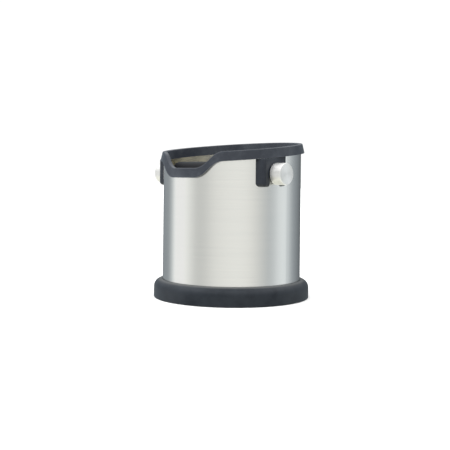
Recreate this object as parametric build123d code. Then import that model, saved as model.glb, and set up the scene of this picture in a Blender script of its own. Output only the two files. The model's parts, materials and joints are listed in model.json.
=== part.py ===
from build123d import *
import math
import os

# Coffee knock box: a steel tube on a rubber boot, a rubber trim round its slanted, scooped rim, and a knock bar
# across it. Millimetres, Z up, origin at the middle of the boot's underside, scoop towards -Y, bar along X.

TUBE_R = 73.0
TUBE_WALL = 1.0
TUBE_FOOT_Z = 3.5

BOOT_R = 82.1
BOOT_H = 19.0
BOOT_SHOULDER = 8.0
BOOT_RECESS_R = 58.0

PAN_TOP_Z = 10.5
PAN_THICK = 0.8

RIM_Z = 158.4
RIM_SLOPE = 0.1045
SCOOP_Z = 135.5
SCOOP_HALF = 20.8
SCOOP_STEEP = 1.14
SCOOP_FOOT_BLEND = 8.4
SCOOP_SHOULDER_BLEND = 6.0
RIM_STATIONS = 90
BLOCK_HALF = 80.0

TRIM_PATH_R = 72.5
TRIM_LIP_R = 76.6
TRIM_CROWN_OUT_R = 74.4
TRIM_CROWN_IN_R = 70.3
TRIM_INNER_R = 69.9
TRIM_SKIRT = 9.7
TRIM_INNER_SKIRT = 10.2
TRIM_CROWN_THICK = 2.2
CHANNEL_GAP = 0.3

BAR_Y = -19.4
BAR_Z = 130.4
ROD_R = 4.0
STUD_R = 3.0
STUD_END = 84.0
SLEEVE_R = 12.5
SLEEVE_HALF = 60.0
WASHER_R = 10.0
WASHER_END = 61.4
BUSH_START = 61.8
BUSH_FLANGE_R = 8.5
BUSH_NECK_R = 6.5
BUSH_BORE_R = 4.06
BUSH_END = 73.9

SADDLE_FACE_X = 74.0
SADDLE_HALF = 17.9
SADDLE_FOOT_Z = 117.4
SLOT_R = 7.6

KNOB_WASHER_X = 74.3
KNOB_START = 74.8
KNOB_END = 87.6
KNOB_R = 11.0


def smooth_max(a, b, width):
    """The larger of two heights, with a rounded corner where they cross."""
    overlap = max(width - abs(a - b), 0.0)
    return max(a, b) + overlap * overlap / (4.0 * width)


def rim_height(x, y):
    """Top of the trim over a point of the wall: a sloping plane, lowered in front by the scoop."""
    plane = RIM_Z + RIM_SLOPE * y
    if y > 0:
        return plane
    side = SCOOP_Z + SCOOP_STEEP * (abs(x) - SCOOP_HALF)
    scoop = smooth_max(SCOOP_Z, side, SCOOP_FOOT_BLEND)
    return -smooth_max(-plane, -scoop, SCOOP_SHOULDER_BLEND)


def rim_curve(lift):
    """Closed curve along the top of the trim, starting at the back."""
    points = []
    for i in range(RIM_STATIONS):
        angle = 2.0 * math.pi * i / RIM_STATIONS
        x = TRIM_PATH_R * math.sin(angle)
        y = TRIM_PATH_R * math.cos(angle)
        points.append((x, y, rim_height(x, y) + lift))
    return Spline(*points, periodic=True)


def turned(profile):
    """Solid of revolution about Z from (radius, height) corners."""
    return revolve(make_face(Plane.XZ * Polyline(*profile, close=True)), Axis.Z)


def rod(radius, start, end):
    """Cylinder along X on the bar's axis, from one x to another."""
    place = Plane(origin=(start, BAR_Y, BAR_Z), z_dir=(1, 0, 0))
    return extrude(place * Circle(radius), end - start)


def upright(radius, low, high):
    """Cylinder about the tube's axis between two heights."""
    return Pos(0, 0, low) * Cylinder(radius, high - low, align=(Align.CENTER, Align.CENTER, Align.MIN))


def left_of(part):
    return mirror(part, about=Plane.YZ)


def under_slope(drop):
    """Block of everything under the rim's sloping plane lowered by drop."""
    front = RIM_Z - drop - BLOCK_HALF * RIM_SLOPE
    back = RIM_Z - drop + BLOCK_HALF * RIM_SLOPE
    outline = Polyline((-BLOCK_HALF, -1), (BLOCK_HALF, -1), (BLOCK_HALF, back), (-BLOCK_HALF, front), close=True)
    return extrude(make_face(Plane.YZ * outline), BLOCK_HALF, both=True)


def below_rim(drop):
    """Everything under the rim lowered by drop: the sloping block with the scoop cut out of its front."""
    floor = SCOOP_Z - drop
    lean = drop * math.hypot(1.0, SCOOP_STEEP) / SCOOP_STEEP - drop / SCOOP_STEEP
    half = SCOOP_HALF + lean
    reach = half + 60.0 / SCOOP_STEEP
    sides = Polyline((-half, floor), (half, floor), (reach, floor + 60), (-reach, floor + 60), close=True)
    cutter = extrude(make_face(Plane.XZ * sides), BLOCK_HALF)
    foot = [e for e in cutter.edges().filter_by(Axis.Y) if e.center().Z < floor + 1]
    return under_slope(drop) - fillet(foot, 20.0 + drop)


def rounded_shoulders(block):
    """Rounds the two edges where the scoop's sides meet the sloping top."""
    tops = block.edges().filter_by(GeomType.LINE)
    shoulders = [e for e in tops if 30 < abs(e.center().X) < 60 and e.center().Z > 140]
    return fillet(shoulders, 16.0)


def body_tube():
    ring = upright(TUBE_R, TUBE_FOOT_Z, 180.0) - upright(TUBE_R - TUBE_WALL, 0.0, 181.0)
    tube = ring & rounded_shoulders(below_rim(TRIM_CROWN_THICK + 0.6))
    return tube - rod(BUSH_NECK_R, -BLOCK_HALF, BLOCK_HALF)


def floor_pan():
    wall = TUBE_R - TUBE_WALL
    profile = [(0, PAN_TOP_Z - PAN_THICK), (wall - 3, PAN_TOP_Z - PAN_THICK), (wall - PAN_THICK, PAN_TOP_Z - 3),
               (wall - PAN_THICK, TUBE_FOOT_Z), (wall, TUBE_FOOT_Z), (wall, PAN_TOP_Z - 3),
               (wall - 3, PAN_TOP_Z), (0, PAN_TOP_Z)]
    return turned(profile)


def base_boot():
    solid = turned([(0, 1.2), (BOOT_RECESS_R, 1.2), (BOOT_RECESS_R + 2, 0), (BOOT_R, 0), (BOOT_R, BOOT_H),
                    (TUBE_R, BOOT_H), (TUBE_R, TUBE_FOOT_Z), (0, TUBE_FOOT_Z)])
    rings = solid.edges().filter_by(GeomType.CIRCLE)
    solid = fillet([e for e in rings if e.radius > BOOT_R - 0.1 and e.center().Z > 1], BOOT_SHOULDER)
    rings = solid.edges().filter_by(GeomType.CIRCLE)
    solid = fillet([e for e in rings if abs(e.radius - TUBE_R) < 0.1 and e.center().Z > 10], 0.9)
    rings = solid.edges().filter_by(GeomType.CIRCLE)
    return fillet([e for e in rings if e.radius > BOOT_R - 0.1 and e.center().Z < 1], 0.7)


def rim_trim():
    """Rubber channel: one section carried round the rim, square to it, its skirt flared to a sharp lip."""
    corners = [(TUBE_R + CHANNEL_GAP, -TRIM_SKIRT), (TRIM_LIP_R, -TRIM_SKIRT), (TRIM_CROWN_OUT_R, 0),
               (TRIM_CROWN_IN_R, 0), (TRIM_INNER_R, -TRIM_INNER_SKIRT),
               (TUBE_R - TUBE_WALL - CHANNEL_GAP, -TRIM_INNER_SKIRT),
               (TUBE_R - TUBE_WALL - CHANNEL_GAP, -TRIM_CROWN_THICK), (TUBE_R + CHANNEL_GAP, -TRIM_CROWN_THICK)]
    start = Plane(origin=(0, TRIM_PATH_R, rim_height(0, TRIM_PATH_R)), x_dir=(0, 1, 0), z_dir=(1, 0, 0))
    section = make_face(Polyline(*[(r - TRIM_PATH_R, d) for r, d in corners], close=True))
    crown = [v for v in section.vertices() if v.Y > -0.1]
    section = start * fillet(crown, 1.1)
    return sweep(section, path=rim_curve(0.0), binormal=Wire([rim_curve(30.0)]))


def saddle():
    """Inverted U under the trim that comes down over one end of the bar."""
    low = SADDLE_FOOT_Z - BAR_Z
    outline = Pos(0, (low + 30) / 2) * Rectangle(2 * SADDLE_HALF, 30 - low)
    outline -= Circle(SLOT_R)
    outline -= Pos(0, -15) * Rectangle(2 * SLOT_R, 30)
    feet = outline.vertices().filter_by(lambda v: v.Y < low + 0.1)
    outline = fillet([v for v in feet if abs(v.X) > 10], 4.0)
    feet = outline.vertices().filter_by(lambda v: v.Y < low + 0.1 and abs(v.X) < SLOT_R + 0.1)
    outline = fillet(feet, 2.6)
    face = Plane(origin=(55, BAR_Y, BAR_Z), x_dir=(0, 1, 0), z_dir=(1, 0, 0))
    block = extrude(face * outline, SADDLE_FACE_X - 55) & under_slope(TRIM_SKIRT + 0.1)
    front = block.faces().sort_by(Axis.X)[-1]
    uprights = front.edges().filter_by(Axis.Z).sort_by(Axis.Y)
    block = fillet(uprights[:1], 3.0)
    return block - upright(TUBE_R + CHANNEL_GAP, 100.0, 180.0)


def bush():
    """Nylon bearing for the rod: a neck through the tube's hole and the saddle's slot, a flange inside the wall."""
    neck = rod(BUSH_NECK_R, BUSH_START, BUSH_END)
    flange = rod(BUSH_FLANGE_R, BUSH_START, BUSH_END) & upright(TUBE_R - TUBE_WALL, 100.0, 150.0)
    return neck + flange - rod(BUSH_BORE_R, 50.0, 80.0)


def bar_core():
    return rod(ROD_R, -KNOB_WASHER_X, KNOB_WASHER_X) + rod(STUD_R, -STUD_END, STUD_END)


def bar_sleeve():
    sleeve = rod(SLEEVE_R, -SLEEVE_HALF, SLEEVE_HALF)
    return fillet(sleeve.edges(), 1.5) - rod(ROD_R, -SLEEVE_HALF, SLEEVE_HALF)


def thrust_washer():
    return rod(WASHER_R, SLEEVE_HALF, WASHER_END) - rod(ROD_R, 55.0, 65.0)


def knob_washer():
    return rod(8.0, KNOB_WASHER_X, KNOB_START) - rod(STUD_R, 70.0, 80.0)


def end_knob():
    knob = rod(KNOB_R, KNOB_START, KNOB_END)
    rims = knob.edges().sort_by(Axis.X)
    knob = fillet(rims[-1:], 0.7)
    knob = chamfer(knob.edges().sort_by(Axis.X)[:1], 0.4)
    knob -= rod(STUD_R, KNOB_START - 1, STUD_END)
    return knob - (rod(9.3, KNOB_END - 0.25, KNOB_END + 1) - rod(8.9, KNOB_END - 1, KNOB_END + 2))


def pair(part):
    return Compound(children=[part, left_of(part)])


parts = {
    "body_tube": body_tube(),
    "floor_pan": floor_pan(),
    "base_boot": base_boot(),
    "rim_trim": rim_trim(),
    "saddle_right": saddle(),
    "saddle_left": left_of(saddle()),
    "bush_right": bush(),
    "bush_left": left_of(bush()),
    "bar_core": bar_core(),
    "bar_sleeve": bar_sleeve(),
    "thrust_washers": pair(thrust_washer()),
    "knob_washers": pair(knob_washer()),
    "end_knob_right": end_knob(),
    "end_knob_left": left_of(end_knob()),
}

os.makedirs("parts", exist_ok=True)
for name, shape in parts.items():
    export_step(shape, f"parts/{name}.step")
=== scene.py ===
import bpy
import json
import math
from mathutils import Matrix

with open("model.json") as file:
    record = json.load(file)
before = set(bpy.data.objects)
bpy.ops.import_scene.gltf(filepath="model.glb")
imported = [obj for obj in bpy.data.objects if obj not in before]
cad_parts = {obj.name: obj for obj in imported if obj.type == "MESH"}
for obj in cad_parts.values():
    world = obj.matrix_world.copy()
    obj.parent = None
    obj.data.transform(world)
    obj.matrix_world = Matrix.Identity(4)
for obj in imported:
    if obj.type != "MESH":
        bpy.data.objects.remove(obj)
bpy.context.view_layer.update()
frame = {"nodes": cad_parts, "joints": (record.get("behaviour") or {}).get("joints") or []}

# Camera: metres and degrees, aimed level at the tube's axis, the scoop turned to its left.
CAMERA_AZIMUTH = math.radians(41.0)
CAMERA_DISTANCE = 0.8761
CAMERA_HEIGHT = 0.1292
CAMERA_ROLL = math.radians(0.61)
CAMERA_LENS = 65.6
CAMERA_SHIFT = (-0.0162, -0.1118)

BAR_AXIS = next(joint["pos_m"] for joint in frame["joints"] if joint["name"] == "bar_spin")


# Node helpers -------------------------------------------------------------------------------------

def add(tree, kind, inputs=None, **settings):
    """New node with its settings; an input is a value or another node's output."""
    node = tree.nodes.new(kind)
    for key, value in settings.items():
        setattr(node, key, value)
    for key, value in (inputs or {}).items():
        if isinstance(value, bpy.types.NodeSocket):
            tree.links.new(value, node.inputs[key])
        else:
            node.inputs[key].default_value = value
    return node


def math_node(tree, operation, a, b=0.0, c=0.0):
    return add(tree, "ShaderNodeMath", {0: a, 1: b, 2: c}, operation=operation).outputs[0]


def part_point(tree):
    """The point in the part's own frame; it travels with the piece."""
    return add(tree, "ShaderNodeTexCoord").outputs["Object"]


def noise(tree, point, stretch, detail=3.0, roughness=0.55):
    """Noise from 0 to 1 whose features are 1 / stretch metres along each axis."""
    scaled = add(tree, "ShaderNodeMapping", {"Vector": point, "Scale": stretch}).outputs[0]
    inputs = {"Vector": scaled, "Scale": 1.0, "Detail": detail, "Roughness": roughness}
    return add(tree, "ShaderNodeTexNoise", inputs).outputs["Fac"]


def spread(tree, value, low, high, new_low=0.0, new_high=1.0):
    """Maps low..high to new_low..new_high, smoothly, and holds the ends."""
    inputs = {"Value": value, "From Min": low, "From Max": high, "To Min": new_low, "To Max": new_high}
    return add(tree, "ShaderNodeMapRange", inputs, interpolation_type="SMOOTHSTEP").outputs[0]


def blend_colors(tree, factor, first, second):
    """Colour between first and second; each of the three is a value or another node's output."""
    node = add(tree, "ShaderNodeMix", data_type="RGBA")
    for socket, value in ((node.inputs[0], factor), (node.inputs[6], first), (node.inputs[7], second)):
        if isinstance(value, bpy.types.NodeSocket):
            tree.links.new(value, socket)
        else:
            socket.default_value = (*value, 1.0) if isinstance(value, tuple) else value
    return node.outputs[2]


def bump(tree, height, distance, strength):
    inputs = {"Height": height, "Distance": distance, "Strength": strength}
    return add(tree, "ShaderNodeBump", inputs).outputs[0]


def new_material(name):
    """Empty node material; returns it with its tree and its shader."""
    material = bpy.data.materials.new(name)
    material.use_nodes = True
    tree = material.node_tree
    return material, tree, tree.nodes["Principled BSDF"]


def edge_wear_and_highlight_mask(tree, radius):
    """1 on edges sharper than the radius, 0 on flats."""
    rounded = add(tree, "ShaderNodeBevel", {"Radius": radius}, samples=6).outputs[0]
    flat = add(tree, "ShaderNodeNewGeometry").outputs["Normal"]
    agree = add(tree, "ShaderNodeVectorMath", {0: rounded, 1: flat}, operation="DOT_PRODUCT")
    return spread(tree, agree.outputs["Value"], 0.995, 0.86)


def upward(tree):
    """1 on faces that look straight up, 0 on those that stand upright or hang."""
    normal = add(tree, "ShaderNodeTexCoord").outputs["Normal"]
    height = add(tree, "ShaderNodeSeparateXYZ", {0: normal}).outputs["Z"]
    return spread(tree, height, 0.80, 1.0)


# Camera, studio and floor -------------------------------------------------------------------------

def make_camera():
    data = bpy.data.cameras.new("camera")
    data.sensor_width = 36.0
    data.lens = CAMERA_LENS
    data.shift_x, data.shift_y = CAMERA_SHIFT
    camera = bpy.data.objects.new("camera", data)
    bpy.context.scene.collection.objects.link(camera)
    turn = Matrix.Rotation(CAMERA_AZIMUTH, 4, "Z") @ Matrix.Rotation(math.pi / 2, 4, "X")
    roll = Matrix.Rotation(CAMERA_ROLL, 4, "Z")
    away = Matrix.Translation((0.0, 0.0, CAMERA_DISTANCE))
    up = Matrix.Translation((0.0, 0.0, CAMERA_HEIGHT))
    camera.matrix_world = up @ turn @ away @ roll
    bpy.context.scene.camera = camera


# The studio's brightness all round, as (bearing, brightness, cool). The bearing is in degrees from the
# camera's own side, left negative; cool goes from 0, warm, to 1, blue. The first and last are the same place.
# The levels began as 17 brightness readings across the photographed steel, converted to light at the bearings
# that the tube mirrors there, and were then changed until the bands on the tube met the photograph's.
STUDIO = [(-180, 0.20, 1.0), (-160, 0.29, 1.0), (-142, 0.35, 1.0), (-128, 0.36, 0.9), (-117, 0.62, 0.6),
          (-108, 1.06, 0.3), (-92, 1.18, 0.1), (-72, 0.84, 0.1), (-58, 0.66, 0.1), (-44, 0.70, 0.1),
          (-27, 0.87, 0.0), (0, 0.95, 0.0), (22, 0.94, 0.0), (38, 0.83, 0.0), (55, 0.64, 0.3),
          (66, 0.58, 0.6), (80, 0.79, 0.5), (98, 1.00, 0.5), (112, 0.54, 0.8), (126, 0.35, 1.0),
          (142, 0.26, 1.0), (160, 0.12, 1.0), (180, 0.20, 1.0)]
WARM_TINT = (1.0, 1.0, 0.965)
COOL_TINT = (0.89, 0.98, 1.05)

# The studio's top and bottom. Heights are sines of the elevation where each begins and where it is full.
OVERHEAD_HEIGHTS = (0.25, 0.80)
OVERHEAD_COLOR = (1.5, 1.5, 1.5)
BENCH_HEIGHTS = (-0.25, -0.65)
BENCH_COLOR = (1.1, 1.1, 0.99)

# Matt surfaces get less light from below and more from above; mirror-like ones see the studio as it is.
MATT_HEIGHTS = (-0.20, 0.90)
MATT_CHANGE = (-0.62, 0.45)
BACKDROP_LEVEL = 1.05

SOFT_LIGHT_ENERGY = 1.4
SOFT_LIGHT_SIZE = math.radians(70.0)
SOFT_LIGHT_LEFT = math.radians(42.0)
SOFT_LIGHT_FORWARD = math.radians(18.0)
FLOOR_HALF = 6.0


def make_studio():
    """World light: the ring of soft boxes turned to the camera, and a white backdrop behind the object."""
    world = bpy.data.worlds.new("studio")
    bpy.context.scene.world = world
    world.use_nodes = True
    tree = world.node_tree
    tree.nodes.clear()
    direction = add(tree, "ShaderNodeTexCoord").outputs["Generated"]
    turn_back = {"Vector": direction, "Rotation": (0.0, 0.0, -CAMERA_AZIMUTH)}
    turned = add(tree, "ShaderNodeMapping", turn_back, vector_type="VECTOR").outputs[0]
    split = add(tree, "ShaderNodeSeparateXYZ", {0: turned})
    ahead = math_node(tree, "MULTIPLY", split.outputs["Y"], -1.0)
    bearing = math_node(tree, "ARCTAN2", split.outputs["X"], ahead)
    position = math_node(tree, "MULTIPLY_ADD", bearing, 0.5 / math.pi, 0.5)
    ramp = add(tree, "ShaderNodeValToRGB", {"Fac": position})
    ramp.color_ramp.interpolation = "B_SPLINE"
    stops = ramp.color_ramp.elements
    stops.remove(stops[-1])
    for i, (degrees, level, cool) in enumerate(STUDIO):
        stop = stops[0] if i == 0 else stops.new(degrees / 360.0 + 0.5)
        stop.color = (*[level * (w + (c - w) * cool) for w, c in zip(WARM_TINT, COOL_TINT)], 1.0)
    overhead = spread(tree, split.outputs["Z"], *OVERHEAD_HEIGHTS)
    bench = spread(tree, split.outputs["Z"], *BENCH_HEIGHTS)
    ring = blend_colors(tree, overhead, ramp.outputs["Color"], OVERHEAD_COLOR)
    around = blend_colors(tree, bench, ring, BENCH_COLOR)
    rays = add(tree, "ShaderNodeLightPath")
    top_heavy = spread(tree, split.outputs["Z"], *MATT_HEIGHTS, *MATT_CHANGE)
    strength = math_node(tree, "MULTIPLY_ADD", rays.outputs["Is Diffuse Ray"], top_heavy, 1.0)
    light = add(tree, "ShaderNodeBackground", {"Color": around, "Strength": strength})
    backdrop = add(tree, "ShaderNodeBackground", {"Color": (1.0, 1.0, 1.0, 1.0), "Strength": BACKDROP_LEVEL})
    seen = {0: rays.outputs["Is Camera Ray"], 1: light.outputs[0], 2: backdrop.outputs[0]}
    mix = add(tree, "ShaderNodeMixShader", seen)
    add(tree, "ShaderNodeOutputWorld", {"Surface": mix.outputs[0]})


def make_floor():
    """Plain white table; the object neither mirrors it nor takes its colour."""
    corners = [(x * FLOOR_HALF, y * FLOOR_HALF, 0.0) for x, y in ((-1, -1), (1, -1), (1, 1), (-1, 1))]
    mesh = bpy.data.meshes.new("floor")
    mesh.from_pydata(corners, [], [(0, 1, 2, 3)])
    floor = bpy.data.objects.new("floor", mesh)
    bpy.context.scene.collection.objects.link(floor)
    material, _, shader = new_material("floor_white")
    shader.inputs["Base Color"].default_value = (0.90, 0.90, 0.90, 1.0)
    shader.inputs["Roughness"].default_value = 0.7
    shader.inputs["Specular IOR Level"].default_value = 0.0
    floor.data.materials.append(material)
    floor.visible_glossy = False
    floor.visible_diffuse = False


def make_lights():
    """One very large soft light above and to the left of the camera, not seen in reflections."""
    data = bpy.data.lights.new("overhead", "SUN")
    data.energy = SOFT_LIGHT_ENERGY
    data.angle = SOFT_LIGHT_SIZE
    light = bpy.data.objects.new("overhead", data)
    light.visible_glossy = False
    to_camera = Matrix.Rotation(CAMERA_AZIMUTH, 4, "Z")
    to_left = Matrix.Rotation(-SOFT_LIGHT_LEFT, 4, "Y")
    forward = Matrix.Rotation(SOFT_LIGHT_FORWARD, 4, "X")
    light.matrix_world = to_camera @ to_left @ forward
    bpy.context.scene.collection.objects.link(light)


# Materials ----------------------------------------------------------------------------------------

def tube_steel(name):
    """Satin steel brushed round the tube: lines that run round it outside; inside, cloudy smudges on a warm
    tint that is a painted reflection of warm surroundings.
    """
    material, tree, shader = new_material(name)
    point = part_point(tree)
    lines = noise(tree, point, (14.0, 14.0, 5200.0), 4.0, 0.6)
    bands = noise(tree, point, (9.0, 9.0, 1500.0), 3.0)
    smudges = noise(tree, point, (26.0, 26.0, 18.0), 4.0, 0.62)
    grain = math_node(tree, "MULTIPLY_ADD", bands, 0.30, math_node(tree, "MULTIPLY", lines, 0.70))
    brushed = spread(tree, grain, 0.30, 0.70)
    outside = blend_colors(tree, brushed, (0.765, 0.77, 0.755), (0.825, 0.825, 0.80))
    smudged = spread(tree, smudges, 0.35, 0.65)
    # Inside colour: cloudy smudges, and a warm, paler tint that is a painted reflection of warm surroundings.
    inside_smudges_and_warm_reflection = blend_colors(tree, smudged, (0.77, 0.74, 0.64), (0.86, 0.84, 0.74))
    normal = add(tree, "ShaderNodeTexCoord").outputs["Normal"]
    facing = add(tree, "ShaderNodeVectorMath", {0: normal, 1: point}, operation="DOT_PRODUCT")
    inner = spread(tree, facing.outputs["Value"], 0.01, -0.01)
    tree.links.new(blend_colors(tree, inner, outside, inside_smudges_and_warm_reflection), shader.inputs["Base Color"])
    satin = math_node(tree, "MULTIPLY_ADD", grain, 0.06, 0.13)
    scuffed = math_node(tree, "MULTIPLY_ADD", smudges, 0.05, satin)
    tree.links.new(scuffed, shader.inputs["Roughness"])
    shader.inputs["Metallic"].default_value = 1.0
    shader.inputs["Anisotropic"].default_value = 0.55
    shader.inputs["Anisotropic Rotation"].default_value = 0.25
    tangent = add(tree, "ShaderNodeTangent", direction_type="RADIAL", axis="Z").outputs[0]
    tree.links.new(tangent, shader.inputs["Tangent"])
    tree.links.new(bump(tree, grain, 0.00002, 0.35), shader.inputs["Normal"])
    return material


def turned_steel(name, bright, dull, roughness):
    """Steel turned on a lathe about the bar's axis: rings on its faces, fine lines round its sides."""
    material, tree, shader = new_material(name)
    point = part_point(tree)
    center = (0.0, BAR_AXIS[1], BAR_AXIS[2])
    shifted = add(tree, "ShaderNodeVectorMath", {0: point, 1: center}, operation="SUBTRACT").outputs[0]
    split = add(tree, "ShaderNodeSeparateXYZ", {0: shifted})
    across = {"Y": split.outputs["Y"], "Z": split.outputs["Z"]}
    flat = add(tree, "ShaderNodeCombineXYZ", across).outputs[0]
    radius = add(tree, "ShaderNodeVectorMath", {0: flat}, operation="LENGTH").outputs["Value"]
    unrolled = add(tree, "ShaderNodeCombineXYZ", {"X": radius, "Y": split.outputs["X"]}).outputs[0]
    lines = noise(tree, unrolled, (4200.0, 4200.0, 1.0), 3.0, 0.6)
    rings = noise(tree, unrolled, (1100.0, 1100.0, 1.0), 2.0)
    patina = noise(tree, point, (60.0, 60.0, 60.0), 3.0)
    cut = math_node(tree, "MULTIPLY_ADD", rings, 0.5, math_node(tree, "MULTIPLY", lines, 0.5))
    tree.links.new(blend_colors(tree, spread(tree, cut, 0.3, 0.7), dull, bright), shader.inputs["Base Color"])
    turned = math_node(tree, "MULTIPLY_ADD", cut, 0.05, roughness)
    tree.links.new(math_node(tree, "MULTIPLY_ADD", patina, 0.05, turned), shader.inputs["Roughness"])
    shader.inputs["Metallic"].default_value = 1.0
    shader.inputs["Anisotropic"].default_value = 0.85
    shader.inputs["Anisotropic Rotation"].default_value = 0.25
    tangent = add(tree, "ShaderNodeTangent", direction_type="RADIAL", axis="X").outputs[0]
    tree.links.new(tangent, shader.inputs["Tangent"])
    tree.links.new(bump(tree, cut, 0.00001, 0.25), shader.inputs["Normal"])
    return material


def pan_steel(name):
    """Pressed steel floor of the bin, finely scratched and coffee-stained in patches."""
    material, tree, shader = new_material(name)
    point = part_point(tree)
    stain = noise(tree, point, (70.0, 70.0, 70.0), 5.0, 0.6)
    scratches = noise(tree, point, (2600.0, 60.0, 60.0), 3.0)
    clean = blend_colors(tree, scratches, (0.60, 0.60, 0.58), (0.70, 0.70, 0.68))
    marked = blend_colors(tree, spread(tree, stain, 0.40, 0.80), clean, (0.53, 0.50, 0.44))
    tree.links.new(marked, shader.inputs["Base Color"])
    tree.links.new(spread(tree, stain, 0.3, 0.7, 0.26, 0.42), shader.inputs["Roughness"])
    shader.inputs["Metallic"].default_value = 1.0
    tree.links.new(bump(tree, scratches, 0.00002, 0.3), shader.inputs["Normal"])
    return material


def rubber(name, color, wear_and_highlight_color, painted_top_light, roughness, gloss):
    """Moulded matt rubber: fine grain, cloudy bloom, paler edges that are partly rubbed wear and partly
    painted highlight, and patchy painted top light on what faces up.
    """
    material, tree, shader = new_material(name)
    point = part_point(tree)
    fine = noise(tree, point, (3000.0, 3000.0, 3000.0), 2.0, 0.5)
    coarse = noise(tree, point, (900.0, 900.0, 900.0), 2.0, 0.5)
    bloom = noise(tree, point, (38.0, 38.0, 38.0), 4.0, 0.6)
    wear_and_top_light_patches = noise(tree, point, (420.0, 420.0, 420.0), 3.0, 0.7)
    dusty = tuple(0.65 * c + 0.35 * w for c, w in zip(color, wear_and_highlight_color))
    base = blend_colors(tree, spread(tree, bloom, 0.38, 0.68), color, dusty)
    # Upward faces made paler in patches: painted top light.
    painted_top_light_mask = math_node(tree, "MULTIPLY", upward(tree), spread(tree, wear_and_top_light_patches, 0.25, 0.65, 0.6, 1.0))
    top_lit_base = blend_colors(tree, painted_top_light_mask, base, painted_top_light)
    patchy = spread(tree, wear_and_top_light_patches, 0.30, 0.62)
    # Paler edges: partly rubbed wear, partly a painted highlight along the edges.
    rubbed_and_highlight = math_node(tree, "MULTIPLY", edge_wear_and_highlight_mask(tree, 0.0007), patchy)
    tree.links.new(blend_colors(tree, rubbed_and_highlight, top_lit_base, wear_and_highlight_color), shader.inputs["Base Color"])
    cloudy = spread(tree, bloom, 0.3, 0.7, roughness - 0.04, roughness + 0.05)
    tree.links.new(cloudy, shader.inputs["Roughness"])
    skin = math_node(tree, "MULTIPLY_ADD", fine, 0.6, math_node(tree, "MULTIPLY", coarse, 0.4))
    tree.links.new(bump(tree, skin, 0.00006, 0.8), shader.inputs["Normal"])
    shader.inputs["Specular IOR Level"].default_value = gloss
    shader.inputs["Sheen Weight"].default_value = 0.10
    shader.inputs["Sheen Roughness"].default_value = 0.45
    shader.inputs["Sheen Tint"].default_value = (0.78, 0.90, 1.0, 1.0)
    return material


def nylon(name):
    """Black nylon of bushes and thrust washers, with faint tool marks."""
    material, tree, shader = new_material(name)
    point = part_point(tree)
    marks = noise(tree, point, (400.0, 2400.0, 2400.0), 3.0)
    black = blend_colors(tree, marks, (0.016, 0.016, 0.018), (0.030, 0.030, 0.033))
    tree.links.new(black, shader.inputs["Base Color"])
    tree.links.new(spread(tree, marks, 0.3, 0.7, 0.36, 0.48), shader.inputs["Roughness"])
    tree.links.new(bump(tree, marks, 0.00003, 0.5), shader.inputs["Normal"])
    return material


def dress_nodes():
    """Gives every CAD node its material."""
    # Each rubber's edge colour stands partly for wear and partly for a painted highlight; its top colour is a
    # painted top light.
    boot = rubber("boot_rubber", color=(0.005, 0.009, 0.016), wear_and_highlight_color=(0.042, 0.051, 0.064),
                  painted_top_light=(0.078, 0.080, 0.081), roughness=0.42, gloss=0.34)
    trim = rubber("trim_rubber", color=(0.017, 0.023, 0.036), wear_and_highlight_color=(0.105, 0.118, 0.138),
                  painted_top_light=(0.052, 0.056, 0.064), roughness=0.38, gloss=0.46)
    saddle = rubber("saddle_rubber", color=(0.014, 0.019, 0.030), wear_and_highlight_color=(0.080, 0.092, 0.110),
                    painted_top_light=(0.030, 0.036, 0.044), roughness=0.44, gloss=0.40)
    sleeve = rubber("sleeve_rubber", color=(0.003, 0.003, 0.005), wear_and_highlight_color=(0.018, 0.018, 0.021),
                    painted_top_light=(0.010, 0.010, 0.011), roughness=0.62, gloss=0.17)
    knob = turned_steel("knob_steel", (0.93, 0.93, 0.915), (0.87, 0.87, 0.855), 0.30)
    plastic = nylon("nylon")
    looks = {
        "body_tube": tube_steel("brushed_steel"),
        "floor_pan": pan_steel("satin_steel"),
        "base_boot": boot,
        "rim_trim": trim,
        "saddle_right": saddle,
        "saddle_left": saddle,
        "bush_right": plastic,
        "bush_left": plastic,
        "bar_core": turned_steel("turned_steel", (0.72, 0.72, 0.71), (0.62, 0.62, 0.61), 0.22),
        "bar_sleeve": sleeve,
        "thrust_washers": plastic,
        "knob_washers": turned_steel("washer_steel", (0.70, 0.70, 0.70), (0.58, 0.58, 0.58), 0.26),
        "end_knob_right": knob,
        "end_knob_left": knob,
    }
    for name, node in frame["nodes"].items():
        node.data.materials.clear()
        node.data.materials.append(looks[name])


make_camera()
make_studio()
make_lights()
make_floor()
dress_nodes()
bpy.context.scene.view_settings.view_transform = "Standard"
